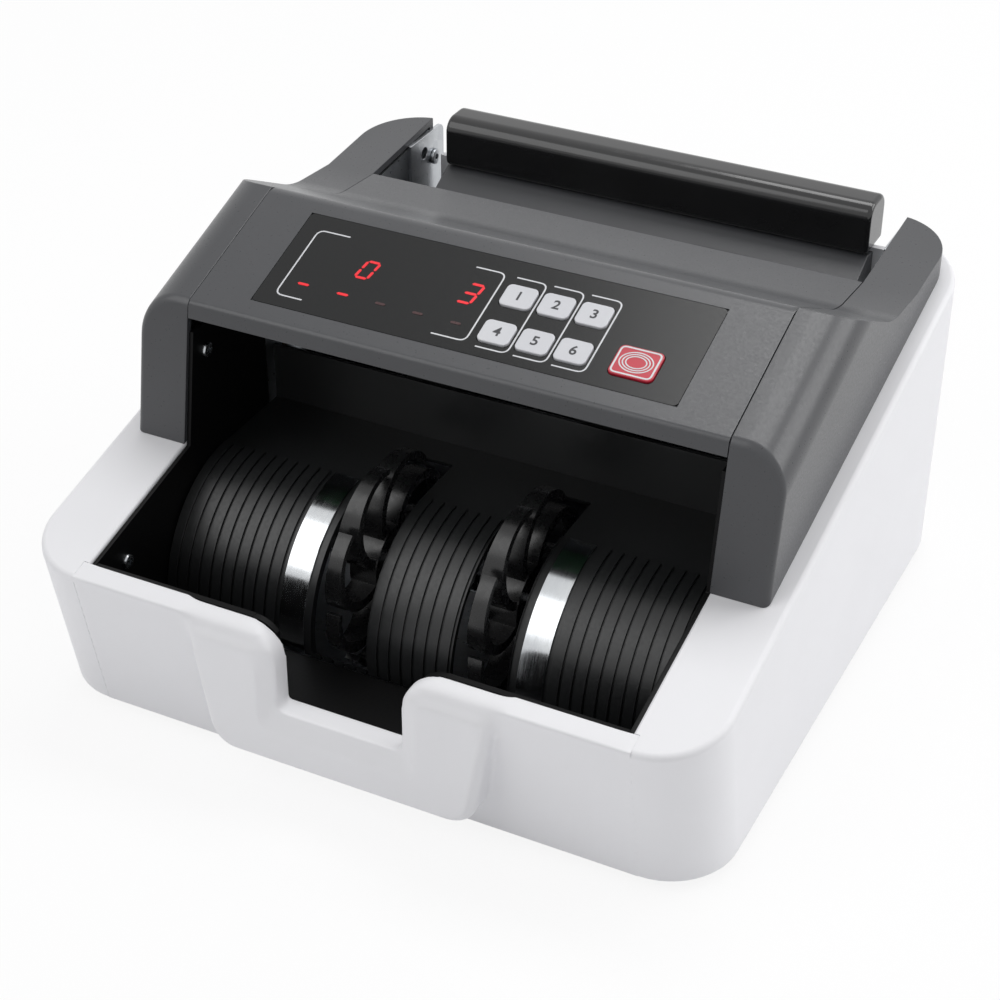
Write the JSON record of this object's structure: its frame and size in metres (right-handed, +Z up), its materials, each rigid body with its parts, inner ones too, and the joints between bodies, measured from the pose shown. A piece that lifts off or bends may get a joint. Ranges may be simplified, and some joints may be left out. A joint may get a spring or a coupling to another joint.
{
  "type": "banknote counter",
  "caption": "Desktop banknote counter with a sloping keypad hood, a rear feed hopper with a hinged back and a front stacking pocket with paddle wheels and a finger notch.",
  "frame": {"origin": "middle of the footprint on the table", "axes": "+Z up, +Y from the pocket towards the hopper, +X to the right of a person who faces the keypad"},
  "size_m": [0.228, 0.241, 0.1361],
  "materials": {
    "cover_white": "fine satin moulded plastic",
    "hood_grey": "fine textured moulded plastic",
    "black_plastic": "satin moulded plastic",
    "bar_black": "glossy moulded plastic",
    "overlay_black": "smooth printed film",
    "key_grey": "satin moulded plastic",
    "key_red": "satin moulded plastic",
    "display_red": "red epoxy face",
    "board_green": "solder mask",
    "steel": "zinc plated",
    "bright_steel": "polished strip",
    "rubber": "ground rubber",
    "black_rubber": "moulded elastomer",
    "bronze": "sintered bush",
    "motor_paint": "dark lacquer",
    "lamp_white": "glass tube"
  },
  "bodies": {
    "housing": {"base_plate": "steel", "rubber_feet": "rubber", "left_side_plate": "steel", "right_side_plate": "steel", "tie_rods": "steel", "front_panel": "cover_white", "left_side_cover": "cover_white", "right_side_cover": "cover_white", "rear_panel": "cover_white", "left_hood_cheek": "hood_grey", "right_hood_cheek": "hood_grey", "console_cover": "hood_grey", "keypad_overlay": "overlay_black", "display_board": "board_green", "key_switches": "black_plastic", "digit_displays": "display_red", "left_pocket_lining": "black_plastic", "right_pocket_lining": "black_plastic", "pocket_tray": "black_plastic", "stacking_plate": "black_plastic", "left_guide_strip": "bright_steel", "right_guide_strip": "bright_steel", "lining_screws": "steel", "shaft_bushes": "bronze", "encoder_sensor": "black_plastic", "brake_rollers": "rubber", "note_guide": "steel", "drive_motor": "motor_paint", "drive_belts": "rubber", "lamp_and_head": "lamp_white", "main_board": "board_green", "power_supply": "motor_paint", "mains_inlet": "black_plastic"},
    "feed": {"feed_shaft": "steel", "feed_rollers": "rubber", "feed_pulley": "black_plastic", "exit_drive_pulley": "black_plastic", "encoder_disc": "black_plastic"},
    "pickup": {"pickup_shaft": "steel", "pickup_rollers": "rubber"},
    "exit": {"exit_shaft": "steel", "exit_rollers": "rubber"},
    "pinch": {"pinch_shaft": "steel", "pinch_rollers": "rubber"},
    "paddles": {"paddle_shaft": "steel", "left_paddle_wheel": "black_rubber", "right_paddle_wheel": "black_rubber", "paddle_pulley": "black_plastic"},
    "motor_rotor": {"motor_pulley": "steel"},
    "hopper_back": {"back_door": "cover_white", "hopper_plate": "black_plastic", "hopper_bar": "bar_black"},
    "rocker": {"power_switch": "bar_black"},
    "key_1": {"key_1": "key_grey"},
    "key_2": {"key_2": "key_grey"},
    "key_3": {"key_3": "key_grey"},
    "key_4": {"key_4": "key_grey"},
    "key_5": {"key_5": "key_grey"},
    "key_6": {"key_6": "key_grey"},
    "reset": {"reset_key": "key_red"}
  },
  "joints": [
    {"name": "feed_spin", "type": "hinge", "parent": "housing", "child": "feed", "pos_m": [0, 0.046, 0.072], "axis": [1, 0, 0], "continuous": true},
    {"name": "pickup_spin", "type": "hinge", "parent": "housing", "child": "pickup", "pos_m": [0, 0.08, 0.08], "axis": [1, 0, 0], "continuous": true},
    {"name": "exit_spin", "type": "hinge", "parent": "housing", "child": "exit", "pos_m": [0, 0.008, 0.076], "axis": [1, 0, 0], "continuous": true},
    {"name": "pinch_spin", "type": "hinge", "parent": "housing", "child": "pinch", "pos_m": [0, 0.008, 0.096], "axis": [1, 0, 0], "continuous": true},
    {"name": "paddle_spin", "type": "hinge", "parent": "housing", "child": "paddles", "pos_m": [0, -0.0475, 0.0425], "axis": [1, 0, 0], "continuous": true},
    {"name": "motor_spin", "type": "hinge", "parent": "housing", "child": "motor_rotor", "pos_m": [0, 0.064, 0.034], "axis": [1, 0, 0], "continuous": true},
    {"name": "back_hinge", "type": "hinge", "parent": "housing", "child": "hopper_back", "pos_m": [0, 0.1095, 0.061], "axis": [-1, 0, 0], "range_deg": [0, 70]},
    {"name": "rocker_tilt", "type": "hinge", "parent": "housing", "child": "rocker", "pos_m": [-0.024, 0.11, 0.031], "axis": [1, 0, 0], "range_deg": [0, 14]},
    {"name": "key_1_push", "type": "slide", "parent": "housing", "child": "key_1", "axis": [0, 0.314, -0.9494], "range_m": [0, 0.0005], "stiffness_N_per_m": 1500},
    {"name": "key_2_push", "type": "slide", "parent": "housing", "child": "key_2", "axis": [0, 0.314, -0.9494], "range_m": [0, 0.0005], "stiffness_N_per_m": 1500},
    {"name": "key_3_push", "type": "slide", "parent": "housing", "child": "key_3", "axis": [0, 0.314, -0.9494], "range_m": [0, 0.0005], "stiffness_N_per_m": 1500},
    {"name": "key_4_push", "type": "slide", "parent": "housing", "child": "key_4", "axis": [0, 0.314, -0.9494], "range_m": [0, 0.0005], "stiffness_N_per_m": 1500},
    {"name": "key_5_push", "type": "slide", "parent": "housing", "child": "key_5", "axis": [0, 0.314, -0.9494], "range_m": [0, 0.0005], "stiffness_N_per_m": 1500},
    {"name": "key_6_push", "type": "slide", "parent": "housing", "child": "key_6", "axis": [0, 0.314, -0.9494], "range_m": [0, 0.0005], "stiffness_N_per_m": 1500},
    {"name": "reset_push", "type": "slide", "parent": "housing", "child": "reset", "axis": [0, 0.314, -0.9494], "range_m": [0, 0.0005], "stiffness_N_per_m": 1500}
  ],
  "couplings": [
    {"joint": "pickup_spin", "follows": "feed_spin", "ratio": 1.4},
    {"joint": "exit_spin", "follows": "feed_spin", "ratio": 1},
    {"joint": "pinch_spin", "follows": "feed_spin", "ratio": -1.2941},
    {"joint": "paddle_spin", "follows": "feed_spin", "ratio": 0.77778},
    {"joint": "motor_spin", "follows": "feed_spin", "ratio": 2}
  ]
}
